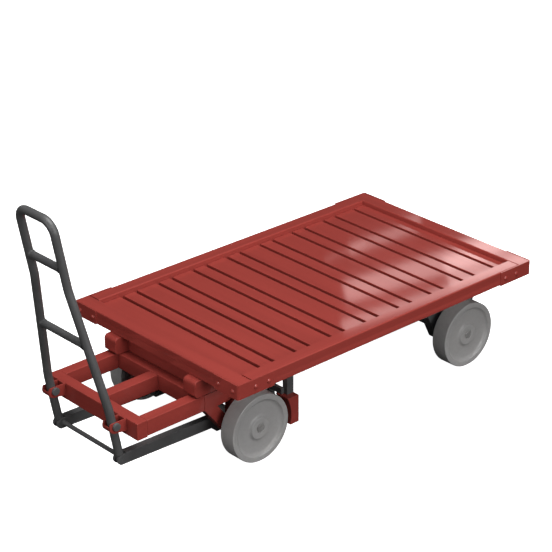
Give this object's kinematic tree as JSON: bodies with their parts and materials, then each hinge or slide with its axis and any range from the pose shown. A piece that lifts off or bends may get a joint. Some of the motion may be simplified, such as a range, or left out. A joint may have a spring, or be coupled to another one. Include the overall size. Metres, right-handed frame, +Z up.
{
  "type": "flatbed platform truck",
  "caption": "Hand-drawn platform truck with a planked deck on cast wheels, a turning fore-carriage, a hinged draw handle and a linked shoe brake.",
  "frame": {"origin": "on the floor below the middle of the whole truck, handle included", "axes": "+X along the truck towards the draw handle, +Y to the truck's left side, +Z up"},
  "size_m": [2.6522, 1.222, 1.4164],
  "materials": {
    "red_timber": "gloss red paint on timber",
    "red_steel": "gloss red paint on steel",
    "dark_steel": "satin dark grey paint",
    "bright_steel": "turned steel",
    "wheel_iron": "turned and worn cast iron"
  },
  "bodies": {
    "platform": {"headboard_front": "red_timber", "headboard_rear": "red_timber", "side_rail_left": "red_timber", "side_rail_right": "red_timber", "plank_1": "red_timber", "plank_2": "red_timber", "plank_3": "red_timber", "plank_4": "red_timber", "plank_5": "red_timber", "plank_6": "red_timber", "plank_7": "red_timber", "plank_8": "red_timber", "plank_9": "red_timber", "plank_10": "red_timber", "plank_11": "red_timber", "plank_12": "red_timber", "plank_13": "red_timber", "plank_14": "red_timber", "plank_15": "red_timber", "plank_16": "red_timber", "bearer_left": "red_timber", "bearer_right": "red_timber", "corner_iron_front_left": "red_steel", "corner_iron_front_right": "red_steel", "corner_iron_rear_left": "red_steel", "corner_iron_rear_right": "red_steel", "corner_rivets": "red_steel", "deck_bolster": "red_timber", "turntable_upper": "dark_steel", "king_pin": "bright_steel", "axle_stand_left": "dark_steel", "axle_stand_right": "dark_steel", "rear_cross_tie": "dark_steel", "rear_axle": "bright_steel"},
    "fore_carriage": {"front_beam": "red_timber", "arm_left": "red_timber", "arm_centre": "red_timber", "arm_right": "red_timber", "crossbeam_front": "red_timber", "guard_left": "red_timber", "guard_right": "red_timber", "carriage_bolster": "red_timber", "turntable_lower": "dark_steel", "front_axle": "bright_steel", "lug_left": "red_steel", "lug_right": "red_steel"},
    "handle": {"handle_frame": "dark_steel", "handle_rungs": "dark_steel", "handle_pins": "dark_steel"},
    "brake_bars": {"brake_bar_left": "dark_steel", "brake_bar_right": "dark_steel", "cross_rod": "dark_steel"},
    "brake_hanger": {"brake_rocker": "dark_steel", "brake_beam": "dark_steel", "shoe_left": "red_timber", "shoe_right": "red_timber"},
    "front_left_wheel": {"wheel_front_left": "wheel_iron"},
    "front_right_wheel": {"wheel_front_right": "wheel_iron"},
    "rear_left_wheel": {"wheel_rear_left": "wheel_iron"},
    "rear_right_wheel": {"wheel_rear_right": "wheel_iron"}
  },
  "joints": [
    {"name": "steer", "type": "hinge", "parent": "platform", "child": "fore_carriage", "pos_m": [0.41091, 0, 0.387], "axis": [0, 0, 1], "range_deg": [-90, 90]},
    {"name": "handle_tilt", "type": "hinge", "parent": "fore_carriage", "child": "handle", "pos_m": [1.10891, 0, 0.367], "axis": [0, 1, 0], "range_deg": [-5, 18]},
    {"name": "bars_swing", "type": "hinge", "parent": "handle", "child": "brake_bars", "pos_m": [1.07237, 0, 0.17545], "axis": [0, 1, 0], "range_deg": [-18, 5]},
    {"name": "hanger_swing", "type": "hinge", "parent": "fore_carriage", "child": "brake_hanger", "pos_m": [0.18891, 0, 0.364], "axis": [0, 1, 0], "range_deg": [-5, 18]},
    {"name": "wheel_front_left_spin", "type": "hinge", "parent": "fore_carriage", "child": "front_left_wheel", "pos_m": [0.41091, 0.42, 0.175], "axis": [0, 1, 0], "continuous": true},
    {"name": "wheel_front_right_spin", "type": "hinge", "parent": "fore_carriage", "child": "front_right_wheel", "pos_m": [0.41091, -0.42, 0.175], "axis": [0, 1, 0], "continuous": true},
    {"name": "wheel_rear_left_spin", "type": "hinge", "parent": "platform", "child": "rear_left_wheel", "pos_m": [-1.02509, 0.42, 0.175], "axis": [0, 1, 0], "continuous": true},
    {"name": "wheel_rear_right_spin", "type": "hinge", "parent": "platform", "child": "rear_right_wheel", "pos_m": [-1.02509, -0.42, 0.175], "axis": [0, 1, 0], "continuous": true}
  ],
  "couplings": [
    {"joint": "bars_swing", "follows": "handle_tilt", "ratio": -1},
    {"joint": "hanger_swing", "follows": "handle_tilt", "ratio": 1}
  ]
}
